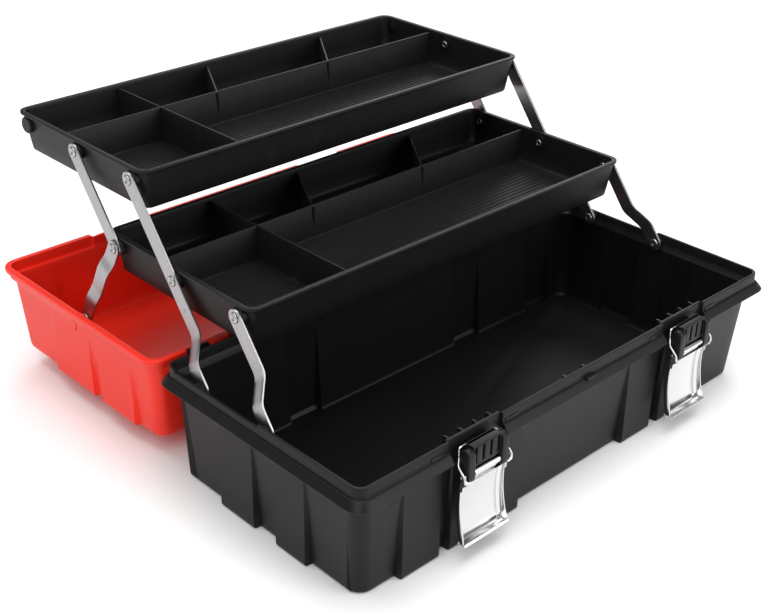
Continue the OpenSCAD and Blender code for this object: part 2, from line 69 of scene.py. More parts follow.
class Parts:
    # collects several closed forms into one piece
    def __init__(self):
        self.verts, self.faces = [], []

    def add(self, verts, faces, move=None):
        base = len(self.verts)
        self.verts += [tuple(move @ Vector(v)) if move else tuple(v) for v in verts]
        self.faces += [[base + i for i in f] for f in faces]
        return self

    def block(self, x0, x1, y0, y1, z0, z1, edge=0.4, steps=2):
        # a box with rounded edges
        bm = bmesh.new()
        bmesh.ops.create_cube(bm, size=1.0)
        for v in bm.verts:
            v.co = Vector(((x0 + x1) / 2 + v.co.x * (x1 - x0), (y0 + y1) / 2 + v.co.y * (y1 - y0),
                           (z0 + z1) / 2 + v.co.z * (z1 - z0)))
        if edge > 0:
            bmesh.ops.bevel(bm, geom=bm.edges[:], offset=edge, segments=steps, profile=0.6, affect="EDGES")
        bm.verts.index_update()
        self.add([v.co[:] for v in bm.verts], [[v.index for v in f.verts] for f in bm.faces])
        bm.free()
        return self

    def lathe(self, profile, centre, sides=28, flip=1):
        # profile as [distance along x, radius], turned about x through centre
        verts, faces = [], []
        for along, r in profile:
            for k in range(sides):
                a = 2 * math.pi * k / sides
                p = (flip * along, r * math.cos(a), r * math.sin(a))
                verts.append([centre[i] + p[i] for i in range(3)])
        n = len(profile)
        for i in range(n - 1):
            for k in range(sides):
                a, b = i * sides + k, i * sides + (k + 1) % sides
                faces.append([a, b, b + sides, a + sides])
        faces.append(list(range(sides))[::-1])
        faces.append([(n - 1) * sides + k for k in range(sides)])
        return self.add(verts, faces)

    def rod(self, x0, x1, y, z, r, edge=0.4, sides=32):
        # a round bar along x with softened ends
        edge = min(edge, r * 0.5, (x1 - x0) / 3)
        prof = [(0, r - edge), (edge * 0.3, r - edge * 0.3), (edge, r), (x1 - x0 - edge, r),
                (x1 - x0 - edge * 0.3, r - edge * 0.3), (x1 - x0, r - edge)]
        return self.lathe(prof, (x0, y, z), sides)

    def tube(self, path, r, sides=14):
        # a bar of round section along a path of points
        pts = [Vector(p) for p in path]
        verts, faces = [], []
        side = None
        for i, p in enumerate(pts):
            d = (pts[min(i + 1, len(pts) - 1)] - pts[max(i - 1, 0)]).normalized()
            if side is None:
                side = d.orthogonal().normalized()
            side = (side - d * side.dot(d)).normalized()
            up = d.cross(side)
            for k in range(sides):
                a = 2 * math.pi * k / sides
                verts.append(p + side * r * math.cos(a) + up * r * math.sin(a))
        for i in range(len(pts) - 1):
            for k in range(sides):
                a, b = i * sides + k, i * sides + (k + 1) % sides
                faces.append([a, b, b + sides, a + sides])
        faces.append(list(range(sides))[::-1])
        faces.append([(len(pts) - 1) * sides + k for k in range(sides)])
        return self.add(verts, faces)

    def loft(self, rings):
        # rings of equal count, joined one to the next
        n = len(rings[0])
        verts = [p for ring in rings for p in ring]
        faces = []
        for i in range(len(rings) - 1):
            for k in range(n):
                a, b = i * n + k, i * n + (k + 1) % n
                faces.append([a, b, b + n, a + n])
        faces.append(list(range(n))[::-1])
        faces.append([(len(rings) - 1) * n + k for k in range(n)])
        return self.add(verts, faces)

    def piece(self, name, finish, body, replaces, slot, sharp=40):
        return meshObject(name, self.verts, self.faces, finish, body, replaces, sharp)


def rounded(points, radius, steps=5):
    # rounds the inner corners of an open path
    out = [Vector(points[0])]
    for i in range(1, len(points) - 1):
        a, b, c = (Vector(points[i + k]) for k in (-1, 0, 1))
        d1, d2 = (a - b), (c - b)
        cut = min(radius, d1.length * 0.49, d2.length * 0.49)
        p, q = b + d1.normalized() * cut, b + d2.normalized() * cut
        for k in range(steps + 1):
            t = k / steps
            out.append((1 - t) ** 2 * p + 2 * t * (1 - t) * b + t * t * q)
    out.append(Vector(points[-1]))
    return out


def tubColumns(sides, steps=7):
    # sides: lists of places along the front, right, rear and left walls
    cols = []
    for side, corner in (("front", -90), ("right", 0), ("rear", 90), ("left", 180)):
        places = sorted(set(round(p, 3) for p in sides[side]))
        if side in ("rear", "left"):
            places.reverse()
        cols += [(side, p) for p in places]
        signs = {"front": (1, -1), "right": (1, 1), "rear": (-1, 1), "left": (-1, -1)}[side]
        cols += [(signs, corner + 90 * k / steps) for k in range(steps + 1)]
    return cols


def tubPoint(col, hx, hy, r):
    side, place = col
    if side == "front":
        return (place, -hy)
    if side == "rear":
        return (place, hy)
    if side == "right":
        return (hx, place)
    if side == "left":
        return (-hx, place)
    sx, sy = side
    a = math.radians(place)
    return (sx * (hx - r) + r * math.cos(a), sy * (hy - r) + r * math.sin(a))


def tubSweep(cols, levels, shape):
    # sweeps a closed section round a tub; shape gives each column's own level
    verts, faces = [], []
    n = len(levels)
    for col in cols:
        for i, level in enumerate(levels):
            z, hx, hy, r = shape(col, i, level)
            x, y = tubPoint(col, hx, hy, r)
            verts.append((x, y, z))
    m = len(cols)
    for c in range(m):
        d = (c + 1) % m
        for i in range(n - 1):
            faces.append([c * n + i, d * n + i, d * n + i + 1, c * n + i + 1])
    faces.append([c * n for c in range(m)][::-1])
    faces.append([c * n + n - 1 for c in range(m)])
    return verts, faces


def rampPlaces(low, high, soft=0.5):
    return [low - soft, low - soft * 0.3, low + soft * 0.3, low + soft,
            high - soft, high - soft * 0.3, high + soft * 0.3, high + soft]


def ramp(place, low, high, soft=0.5):
    # 0 outside a range, 1 inside, softened at its edges
    def edge(t):
        t = max(0.0, min(1.0, (t + soft) / (2 * soft)))
        return t * t * (3 - 2 * t)
    return edge(place - low) * edge(high - place)


def wallPlaces(ribs, span, extra=()):
    # where a wall's columns stand: evenly, and close together at the edges of its panels and of the extra ranges
    def near(p, at, room):
        return at - room < p < at + room

    out = [span * k / 8 for k in range(-8, 9)]
    out = [p for p in out if not any(near(p, a, 1.2) or near(p, b, 1.2) for a, b in ribs)]
    for a, b in ribs:
        out += rampPlaces(a, b) + rampPlaces(a + box["wall"], b - box["wall"])
    for a, b in extra:
        out = [p for p in out if not near(p, a, 0.9) and not near(p, b, 0.9)]
        out += rampPlaces(a, b, 0.3)
    return out


class Sock:
    # a node's output that takes part in arithmetic
    def __init__(self, tree, out):
        self.tree, self.out = tree, out

    def calc(self, operation, a, b=None):
        n = self.tree.nodes.new("ShaderNodeMath")
        n.operation = operation
        for i, v in enumerate((a, b)):
            if isinstance(v, Sock):
                self.tree.links.new(v.out, n.inputs[i])
            elif v is not None:
                n.inputs[i].default_value = v
        return Sock(self.tree, n.outputs[0])

    def __add__(self, o): return self.calc("ADD", self, o)
    def __radd__(self, o): return self.calc("ADD", o, self)
    def __sub__(self, o): return self.calc("SUBTRACT", self, o)
    def __mul__(self, o): return self.calc("MULTIPLY", self, o)
    def clamp(self): return self.calc("MAXIMUM", self.calc("MINIMUM", self, 1.0), 0.0)


class Finish:
    # one material: constants go on the shader's own sockets
    def __init__(self, name, **constants):
        self.mat = bpy.data.materials.new(name)
        self.mat.use_nodes = True
        self.tree = self.mat.node_tree
        self.shader = self.tree.nodes["Principled BSDF"]
        for label, v in constants.items():
            self.shader.inputs[label.replace("_", " ")].default_value = v

    def node(self, kind, settings=None, inputs=None, output=0):
        n = self.tree.nodes.new(kind)
        for k, v in (settings or {}).items():
            setattr(n, k, v)
        for k, v in (inputs or {}).items():
            if isinstance(v, Sock):
                self.tree.links.new(v.out, n.inputs[k])
            else:
                n.inputs[k].default_value = v
        return Sock(self.tree, n.outputs[output])

    def place(self):
        return self.node("ShaderNodeTexCoord", output=3)

    def noise(self, scale, detail=3.0, rough=0.55, stretch=None):
        vec = self.place()
        if stretch:
            vec = self.node("ShaderNodeVectorMath", {"operation": "MULTIPLY"}, {0: vec, 1: stretch})
        return self.node("ShaderNodeTexNoise", {}, {"Vector": vec, "Scale": scale, "Detail": detail,
                                                  "Roughness": rough})

    def mix(self, factor, a, b):
        n = self.tree.nodes.new("ShaderNodeMix")
        n.data_type = "RGBA"
        for idx, v in ((0, factor), (6, a), (7, b)):
            if isinstance(v, Sock):
                self.tree.links.new(v.out, n.inputs[idx])
            else:
                n.inputs[idx].default_value = v
        return Sock(self.tree, n.outputs[2])

    def feed(self, label, value):
        self.tree.links.new(value.out, self.shader.inputs[label])

    def bump(self, height, strength, distance):
        n = self.node("ShaderNodeBump", {}, {"Height": height, "Strength": strength, "Distance": distance})
        self.feed("Normal", n)


def mouldedPlastic(name, colour, light, roughness, grain=0.35, shine=0.2):
    # injection moulded polypropylene: fine grain, faint flow clouds, scuffs that catch the light
    f = Finish(name, Roughness=roughness, IOR=1.49, Specular_IOR_Level=shine)
    clouds = f.noise(14.0, 4.0)
    scuffs = f.noise(60.0, 6.0, 0.7, (1.0, 1.0, 0.35))
    grainy = f.noise(1500.0, 2.0, 0.5)
    mask = ((scuffs - 0.58) * 6.0).clamp() * 0.35
    base = f.mix(clouds, colour, light)
    worn = [min(1.0, c * 1.3 + 0.006) for c in light[:3]] + [1.0]
    f.feed("Base Color", f.mix(mask, base, worn))
    f.feed("Roughness", roughness - 0.07 + clouds * 0.1 + mask * 0.25 + (grainy - 0.5) * 0.08)
    f.bump(grainy * 0.6 + clouds * 1.2, grain, 0.00012)
    return f.mat


def platedStrip(name, colour, roughness, stretch):
    # zinc plated steel, brushed along one direction, with cloudy plating
    f = Finish(name, Metallic=1.0, Roughness=roughness)
    brush = f.noise(90.0, 5.0, 0.65, stretch)
    clouds = f.noise(70.0, 3.0)
    dark = [c * 0.72 for c in colour[:3]] + [1.0]
    f.feed("Base Color", f.mix(((brush - 0.35) * 1.6).clamp() * 0.6 + clouds * 0.35, dark, colour))
    f.feed("Roughness", roughness - 0.08 + clouds * 0.12 + brush * 0.12)
    f.bump(brush + clouds * 0.3, 0.25, 0.00008)
    return f.mat


def brightPlate(name, colour, roughness):
    # bright nickel on a pressing: soft waves of the sheet and a few fine scratches
    f = Finish(name, Metallic=1.0, Roughness=roughness)
    waves = f.noise(35.0, 2.0)
    scratch = f.noise(300.0, 4.0, 0.7, (1.0, 1.0, 0.08))
    mark = ((scratch - 0.6) * 8.0).clamp()
    dull = [c * 0.85 for c in colour[:3]] + [1.0]
    f.feed("Base Color", f.mix(mark * 0.5, colour, dull))
    f.feed("Roughness", roughness + waves * 0.06 + mark * 0.12)
    f.bump(waves * 1.5 + scratch * 0.15, 0.3, 0.0003)
    return f.mat


finishes = {
    "base": mouldedPlastic("blackBase", (0.0062, 0.0060, 0.0064, 1), (0.0086, 0.0083, 0.0088, 1), 0.42),
    "tray": mouldedPlastic("blackTray", (0.0058, 0.0056, 0.0060, 1), (0.008, 0.0077, 0.0082, 1), 0.45),
    "lid": mouldedPlastic("redLid", (0.84, 0.022, 0.008, 1), (0.92, 0.030, 0.012, 1), 0.42, 0.25, 0.3),
    "latchBlock": mouldedPlastic("blackLatch", (0.007, 0.0068, 0.0072, 1), (0.010, 0.0098, 0.0102, 1), 0.4),
    "handle": mouldedPlastic("blackHandle", (0.007, 0.0068, 0.0072, 1), (0.010, 0.0098, 0.0102, 1), 0.45),
    "link": platedStrip("zincStrip", (0.5, 0.49, 0.5, 1), 0.33, (1.0, 6.0, 1.0)),
    "rivet": platedStrip("zincRivet", (0.55, 0.54, 0.55, 1), 0.28, (1.0, 1.0, 1.0)),
    "plate": brightPlate("nickelPlate", (0.7, 0.69, 0.7, 1), 0.12),
    "wire": brightPlate("nickelWire", (0.6, 0.59, 0.6, 1), 0.18),
    "pin": platedStrip("drawnSteel", (0.6, 0.6, 0.61, 1), 0.3, (0.1, 1.0, 1.0)),
}
print("finishes made")


baseTub = {"wallInset": 8.7, "draftX": 4.8, "draftY": 5.5,
           "frontRibs": [(-170, -136), (-127, -60), (54, 87), (97, 130)],
           "rearRibs": [(-112, -78), (62, 96), (150, 184)], "endRibs": [(-43, -13), (9, 45)],
           "lowLipFrom": -2.0, "lowLipDrop": 2.2, "finDepth": 5.4}


def baseShell():
    hl, hw, wall = box["halfLength"], box["halfWidth"], box["wall"]
    wx, wy = hl - baseTub["wallInset"], hw - baseTub["wallInset"]
    dx, dy = baseTub["draftX"], baseTub["draftY"]

    def wallAt(z, inset=0.0, r=11.0):
        t = (z - 3) / 77.0
        return (z, wx - dx * (1 - t) - inset, wy - dy * (1 - t) - inset, r)

    outer = [(0.0, wx - dx - 2.9, wy - dy - 2.9, 8.5), (0.25, wx - dx - 1.7, wy - dy - 1.7, 9.5),
             (0.9, wx - dx - 0.75, wy - dy - 0.75, 10.3), (1.9, wx - dx - 0.2, wy - dy - 0.2, 10.8)]
    outer += [wallAt(z) for z in (3.2, 6.0, 20.0, 40.0, 60.0, 70.0, 74.0, 76.0, 78.6)]
    rim = [(79.2, wx + 0.5, wy + 0.5, 11.5), (79.5, wx + 1.2, wy + 1.2, 11.5),
           (79.5, hl - 6.6, hw - 6.6, 9.5), (79.1, hl - 5.9, hw - 5.9, 9.8),
           (76.5, hl - 2.3, hw - 2.3, 11.0), (76.0, hl - 1.7, hw - 1.7, 11.4),
           (76.0, hl - 0.6, hw - 0.6, 11.8), (76.2, hl - 0.15, hw - 0.15, 12.0),
           (76.6, hl, hw, 12.0), (77.1, hl - 0.25, hw - 0.25, 12.0),
           (81.3, hl - 3.6, hw - 3.6, 9.3), (81.8, hl - 4.1, hw - 4.1, 9.0),
           (82.0, hl - 4.6, hw - 4.6, 8.6), (82.05, hl - 5.2, hw - 5.2, 8.3),
           (82.4, hl - 5.5, hw - 5.5, 8.1), (89.4, hl - 5.6, hw - 5.6, 8.0),
           (89.85, hl - 5.8, hw - 5.8, 7.8), (90.0, hl - 6.3, hw - 6.3, 7.4)]
    lip = [(90.0, hl - 7.1, hw - 7.1, 6.8), (89.8, hl - 7.6, hw - 7.6, 6.4), (89.3, hl - 7.85, hw - 7.85, 6.1),
           (82.9, hl - 7.95, hw - 7.95, 6.0), (82.2, hl - 8.2, hw - 8.2, 6.2)]
    inner = [wallAt(z, wall, 9.0) for z in (78.4, 77.4, 74.0, 60.0, 40.0, 20.0, 8.0, 5.2)]
    footX, footY = wx - dx - wall, wy - dy - wall
    inner += [(3.6, footX - 0.6, footY - 0.6, 8.5), (2.8, footX - 1.5, footY - 1.5, 7.8),
              (2.5, footX - 2.8, footY - 2.8, 6.8)]
    levels = outer + rim + lip + inner
    nOut, nRim, nLip = len(outer), len(rim), len(lip)

    step = [(baseTub["lowLipFrom"], 86.0)]
    ends = wallPlaces(baseTub["endRibs"], 80.0, step)
    cols = tubColumns({"front": wallPlaces(baseTub["frontRibs"], 184.0, latchBays),
                       "rear": wallPlaces(baseTub["rearRibs"], 190.0), "right": ends, "left": ends})

    def shape(col, i, level):
        z, hx, hy, r = level
        side, place = col
        if side in ("front", "rear", "right", "left"):
            ribs = baseTub[{"front": "frontRibs", "rear": "rearRibs"}.get(side, "endRibs")]
            if i < nOut:
                out = sum(ramp(place, a, b) for a, b in ribs)
                soft = min(1.0, max(0.0, z / 3.2))
                inset = 1.6 * (1 - math.sqrt(max(0.0, 1 - (1 - soft) ** 2)))
                if side in ("front", "rear"):
                    hy += out * max(0.0, wy - 0.15 - inset - hy)
                else:
                    hx += out * max(0.0, wx - 0.15 - inset - hx)
            if i >= nOut + nRim + nLip:
                out = sum(ramp(place, a + wall, b - wall) for a, b in ribs)
                floor = max(0.0, 1 - (z - 2.5) / 2.7) if z < 5.2 else 0.0
                if side in ("front", "rear"):
                    hy += out * max(0.0, wy - wall - 0.15 - 2.0 * floor - hy)
                else:
                    hx += out * max(0.0, wx - wall - 0.15 - 2.0 * floor - hx)
            if side == "front":
                bay = max(ramp(place, a, b, 0.3) for a, b in latchBays)
                if bay > 0 and nOut - 1 <= i < nOut + nRim:
                    k = (i - nOut + 1) / nRim
                    zb = 75.0 + 14.6 * min(1.0, k * 1.08)
                    yb = box["bayY"] - (0.0 if k < 0.93 else 0.3)
                    z, hy = z + (zb - z) * bay, hy + (yb - hy) * bay
                elif bay > 0 and nOut + nRim <= i < nOut + nRim + nLip:
                    k = (i - nOut - nRim) / (nLip - 1)
                    zb = [90.0, 89.9, 89.4, 82.9, 80.0][i - nOut - nRim]
                    yb = [94.1, 92.8, 92.45, 92.4, 92.3][i - nOut - nRim]
                    z, hy = z + (zb - z) * bay, hy + (yb - hy) * bay
            if side in ("right", "left") and place > baseTub["lowLipFrom"] - 1 and z > 86:
                low = ramp(place, baseTub["lowLipFrom"], 86.0, 0.3)
                z -= low * baseTub["lowLipDrop"]
        return z, hx, hy, r

    tub = Parts()
    tub.add(*tubSweep(cols, levels, shape))
    for s in (-1, 1):
        cx = s * box["latchX"]
        for k in (-1.5, -0.5, 0.5, 1.5):
            tub.block(cx + k * 13 - 0.8, cx + k * 13 + 0.8, -92.6, -92.4 + baseTub["finDepth"], 78.5, 88.6, 0.35)
        for e in (-1, 1):
            tub.block(cx + e * 33.5 - 6.5, cx + e * 33.5 + 6.5, -97.6, -95.2, 81.0, 85.2, 0.6)
    for k in (-20, 0):
        tub.block(k - 1.5, k + 1.5, -94.9, -91.6, 80.0, 89.2, 0.4)
    tub.block(-3.4, 6.8, -100.4, -96.2, 81.0, 83.0, 0.4)
    for e in (-1, 1):
        for y in (-4.0, 64.0):
            post = [(0, 4.4), (0.2, 4.8), (0.7, 5.0), (5.4, 5.0)]
            tub.lathe(post, (e * 203.5, y, 83.0), 32, e)
    for k in hingeSites:
        tub.rod(k - 17.3, k - 0.3, box["hingeY"], box["hingeZ"], 4.0, 0.5)
        tub.block(k - 17.3, k - 0.3, 97.5, 105.5, 77.5, 81.7, 0.5)
    return tub.piece("baseTub", finishes["base"], "base", ["base_shell"], "base_plastic", 32)


baseShell()
print("base tub made")


lidShape = {"depth": 71.0, "wallInset": 6.2, "draft": 4.3, "endRibs": [(-11, 40), (-65, -21)],
            "longRibs": [(-175, -140), (-70, -35), (35, 70), (140, 175)]}


def lidShell():
    hl, hw, wall, deep = box["halfLength"], box["halfWidth"], box["wall"], lidShape["depth"]
    ox, oy, draft = hl - lidShape["wallInset"], hw - lidShape["wallInset"], lidShape["draft"]

    def wallAt(z, inset=0.0, r=9.0):
        t = (-z - 13) / (deep - 13)
        return (z, ox - draft * t - inset, oy - draft * t - inset, r)

    endX, endY = ox - draft, oy - draft
    outer = [(-deep, endX - 2.9, endY - 2.9, 7.0), (-deep + 0.25, endX - 1.6, endY - 1.6, 8.0),
             (-deep + 0.9, endX - 0.7, endY - 0.7, 8.6), (-deep + 1.9, endX - 0.2, endY - 0.2, 9.0)]
    outer += [wallAt(z) for z in (-67.8, -64.0, -50.0, -36.0, -24.0, -18.4, -17.4, -16.6, -13.0)]
    rim = [(-11.6, hl - 5.2, hw - 5.2, 8.4), (-9.6, hl - 3.3, hw - 3.3, 9.4), (-8.6, hl - 2.9, hw - 2.9, 10.0),
           (-4.9, hl - 2.35, hw - 2.35, 10.8), (-4.3, hl - 1.9, hw - 1.9, 11.2), (-4.2, hl - 1.0, hw - 1.0, 12.0),
           (-4.0, hl - 0.3, hw - 0.3, 12.6), (-3.4, hl, hw, 12.6), (-1.0, hl, hw, 12.6),
           (-0.35, hl - 0.2, hw - 0.2, 12.4), (-0.03, hl - 0.75, hw - 0.75, 12.0)]
    lip = [(-0.02, hl - 3.9, hw - 3.9, 9.0), (-0.2, hl - 4.4, hw - 4.4, 8.6), (-0.7, hl - 4.6, hw - 4.6, 8.4),
           (-8.2, hl - 4.7, hw - 4.7, 8.4), (-8.6, hl - 5.2, hw - 5.2, 8.2),
           (-8.7, ox - wall + 0.5, oy - wall + 0.5, 8.0)]
    inner = [wallAt(z, wall, 7.6) for z in (-9.4, -14.0, -24.0, -36.0, -50.0, -62.0, -66.0)]
    footX, footY = endX - wall, endY - wall
    inner += [(-67.4, footX - 0.6, footY - 0.6, 7.2), (-68.2, footX - 1.5, footY - 1.5, 6.6),
              (-68.5, footX - 2.8, footY - 2.8, 5.6)]
    levels = outer + rim + lip + inner
    nOut, nRim, nLip = len(outer), len(rim), len(lip)

    band = (-hl + 16, hl - 16)
    ends = wallPlaces(lidShape["endRibs"], 84.0)
    cols = tubColumns({"front": wallPlaces([], 190.0), "right": ends, "left": ends,
                       "rear": wallPlaces(lidShape["longRibs"], 190.0, latchBays + [band])})

    def shape(col, i, level):
        z, hx, hy, r = level
        side, place = col
        ribs = {"rear": lidShape["longRibs"], "right": lidShape["endRibs"], "left": lidShape["endRibs"]}.get(side, [])
        top = (-17.5, -22.0)
        if ribs and (i < nOut or i >= nOut + nRim + nLip):
            inside = i >= nOut
            w = wall if inside else 0.0
            out = sum(ramp(place, a + w, b - w) for a, b in ribs)
            out *= max(0.0, min(1.0, (top[0] - z) / (top[0] - top[1])))
            soft = min(1.0, max(0.0, (z + deep - (2.5 if inside else 0)) / 3.0))
            inset = 1.5 * (1 - soft) ** 2 + 0.8
            if side == "rear":
                hy += out * max(0.0, oy - w - inset - hy)
            else:
                hx += out * max(0.0, ox - w - inset - hx)
        if side == "rear" and -17.0 <= z <= -9.0 and i < nOut + nRim:
            step = ramp(place, *band, 0.3)
            hy += step * max(0.0, hw - 3.4 - hy)
        if side == "rear":
            bay = max(ramp(place, a, b, 0.3) for a, b in latchBays)
            if bay > 0 and nOut - 2 <= i < nOut + nRim:
                k = (i - nOut + 2) / (nRim + 1)
                zb = -14.2 + 14.0 * min(1.0, k * 1.04)
                yb = 97.0 - (0.0 if k < 0.95 else 0.3)
                z, hy = z + (zb - z) * bay, hy + (yb - hy) * bay
            elif bay > 0 and nOut + nRim <= i < nOut + nRim + nLip:
                j = i - nOut - nRim
                zb = [-0.02, -0.1, -0.4, -7.0, -8.4, -8.7][j]
                yb = [96.3, 95.3, 95.0, 95.0, 94.6, 94.3][j]
                z, hy = z + (zb - z) * bay, hy + (yb - hy) * bay
        return z, hx, hy, r

    lid = Parts()
    midY, rimZ = box["lidMidY"], box["lidRimZ"]
    lid.add(*tubSweep(cols, levels, shape), Matrix.Translation((0, midY, rimZ)))
    for s in (-1, 1):
        cx = s * box["latchX"]
        lid.block(cx - 18.5, cx + 18.5, midY + 96.8, midY + 99.2, rimZ - 4.9, rimZ - 1.0, 0.4)
        # embossed arrow and lug of the end wall
        boss = [(0, 4.4), (0.25, 4.8), (0.8, 5.0), (6.2, 5.0)]
        lid.lathe(boss, (s * 200.8, 213.5, 73.0), 32, s)
        arrow = [Vector((s * 208.2, 213.5 + u, 73.5 + v)) for u, v in ((-5, 6), (5, 6), (0, -7))]
        lid.loft([arrow, [p + Vector((s * 0.75, 0, 0)) for p in arrow]])
    for k in hingeSites:
        lid.rod(k, k + 17, box["hingeY"], box["hingeZ"], 4.0, 0.5)
        lid.block(k, k + 17, 102.5, 109.5, 82.5, 86.9, 0.5)
    for e in (-1, 1):
        x0, x1 = sorted((e * 74.3, e * 80.0))
        lid.block(x0, x1, 201.0, 215.0, 8.0, 17.0, 0.5)
        lid.rod(x0, x1, 208.0, 7.5, 7.0, 0.6)
    return lid.piece("lidShell", finishes["lid"], "lid", ["lid_shell"], "lid_plastic", 32)


lidShell()
print("lid made")


trayShape = {"halfLength": 189.0, "halfWidth": 81.5, "height": 31.0, "wall": 2.0, "pivotDrop": 8.8, "pivotGap": 68.0,
             "longDivider": 20.5, "crossDivider": -102.0, "slants": [(-49.0, -18.0), (65.5, 104.0)], "ribPitch": 4.4,
             "dividerTop": -2.4, "bossX": 183.4}
crank = {"length": 74.0, "open": 52.6}
stepY = crank["length"] * math.cos(math.radians(crank["open"]))
stepZ = crank["length"] * math.sin(math.radians(crank["open"]))
frontPivot, rearPivot = (-4.0, 83.0), (64.0, 83.0)
lowerMid = (rearPivot[0] + stepY, rearPivot[1] + stepZ)
upperMid = (lowerMid[0] + stepY + trayShape["pivotGap"], lowerMid[1] + stepZ)
lowerRear = (lowerMid[0] + trayShape["pivotGap"], lowerMid[1])


def trayPiece(name, node, body, mid):
    hx, hy, h, wall = (trayShape[k] for k in ("halfLength", "halfWidth", "height", "wall"))

    def wallAt(z, inset=0.0, r=7.6):
        t = (-z - 1) / (h - 1)
        return (z, hx - 1.8 - 3.7 * t - inset, hy - 1.8 - 3.7 * t - inset, r)

    levels = [(-h, hx - 8.0, hy - 8.0, 5.2), (-h + 0.3, hx - 6.7, hy - 6.7, 6.0), (-h + 1.1, hx - 5.8, hy - 5.8, 6.8)]
    levels += [wallAt(z) for z in (-h + 2.2, -20.0, -12.0, -5.0, -2.9)]
    levels += [(-2.35, hx - 1.7, hy - 1.7, 7.8), (-2.2, hx - 1.2, hy - 1.2, 8.2), (-2.15, hx - 0.5, hy - 0.5, 8.7),
               (-1.9, hx - 0.05, hy - 0.05, 9.0), (-0.5, hx, hy, 9.0), (-0.1, hx - 0.15, hy - 0.15, 8.9),
               (0.0, hx - 0.6, hy - 0.6, 8.6), (0.0, hx - 3.0, hy - 3.0, 6.6), (-0.25, hx - 3.6, hy - 3.6, 6.2),
               (-0.8, hx - 3.85, hy - 3.85, 6.0)]
    levels += [wallAt(z, wall, 6.0) for z in (-3.0, -8.0, -18.0, -h + 5.0)]
    levels += [(-h + 3.1, hx - 8.0, hy - 8.0, 5.4), (-h + 2.3, hx - 8.8, hy - 8.8, 4.8),
               (-h + 2.0, hx - 10.2, hy - 10.2, 3.8)]
    flat = [k * 22.0 for k in range(-8, 9)]
    cols = tubColumns({"front": flat, "rear": flat, "right": [k * 14.0 for k in range(-5, 6)],
                       "left": [k * 14.0 for k in range(-5, 6)]})
    tray = Parts()
    tray.add(*tubSweep(cols, levels, lambda c, i, level: level))
    top, low = trayShape["dividerTop"], -h + 1.2
    yd, xd = trayShape["longDivider"], trayShape["crossDivider"]

    def reach(z):
        return 1.8 + 3.7 * (-z - 1) / (h - 1) + 1.0

    def divider(a, b, thick, z1):
        # upright sheet between two points, its foot widened by a small fillet, its top rounded
        a, b = Vector((a[0], a[1], 0)), Vector((b[0], b[1], 0))
        d = (b - a).normalized()
        n = Vector((-d.y, d.x, 0))
        half = thick / 2
        sect = [(half + 1.2, low), (half + 0.5, low + 1.0), (half + 0.12, low + 2.2), (half * 0.95, z1 - 0.5),
                (half * 0.7, z1 - 0.12), (half * 0.3, z1)]
        sect = sect + [(-w, z) for w, z in reversed(sect)]
        rings = []
        for p, out in ((a, -1), (b, 1)):
            rings.append([p + n * w + Vector((0, 0, z)) + d * out * (2.3 * (z - low) / (z1 - low)) for w, z in sect])
        tray.loft(rings)

    inX, inY = hx - reach(low) - 0.4, hy - reach(low) - 0.4
    divider((-inX, yd), (inX, yd), 1.8, top)
    divider((xd, -inY), (xd, inY), 1.8, top)
    for x0, x1 in trayShape["slants"]:
        divider((x0, yd), (x1, inY), 1.6, top - 1.0)
    y = yd - 4.0
    while y >= -hy + 12:
        tray.block(xd + 6, hx - 14, y - 0.4, y + 0.4, low, -h + 2.45, 0.2, 1)
        tray.block(-hx + 14, xd - 6, y - 0.4, y + 0.4, low, -h + 2.45, 0.2, 1)
        y -= trayShape["ribPitch"]
    for e in (-1, 1):
        for k in (-1, 0, 1):
            y, z = k * trayShape["pivotGap"], -trayShape["pivotDrop"]
            boss = [(0, 6.4), (4.6, 6.4), (5.5, 6.1), (5.9, 5.6)]
            tray.lathe(boss, (e * trayShape["bossX"], y, z), 36, e)
            inner = [(0, 4.4), (0.3, 4.9), (0.9, 5.1), (3.6, 5.1)]
            tray.lathe(inner, (e * 183.1, y, z), 28, e)
            if name == "upperTray" and k == 1:
                tray.lathe([(0, 1.9), (0.6, 2.0), (0.61, 2.0)], (e * 188.75, y, z), 20, e)
    move = Matrix.Translation((0, mid[0], mid[1] + trayShape["pivotDrop"]))
    tray.verts = [tuple(move @ Vector(v)) for v in tray.verts]
    return tray.piece(name, finishes["tray"], body, [node], "tray_plastic", 35)


trayPiece("lowerTray", "lower_tray", "lower_tray", lowerMid)
trayPiece("upperTray", "upper_tray", "upper_tray", upperMid)
print("trays made")


# places along x of the strips' inner faces, of the rivets' heads and of the base rivets' tails
linkShape = {"width": 12.0, "thick": 1.8, "far": 201.4, "near": 189.6, "over": 191.7, "mid": 195.3, "eye": 197.7,
             "baseHead": 201.1, "baseTail": 208.0, "trayHead": 191.7, "rearHead": 193.8}


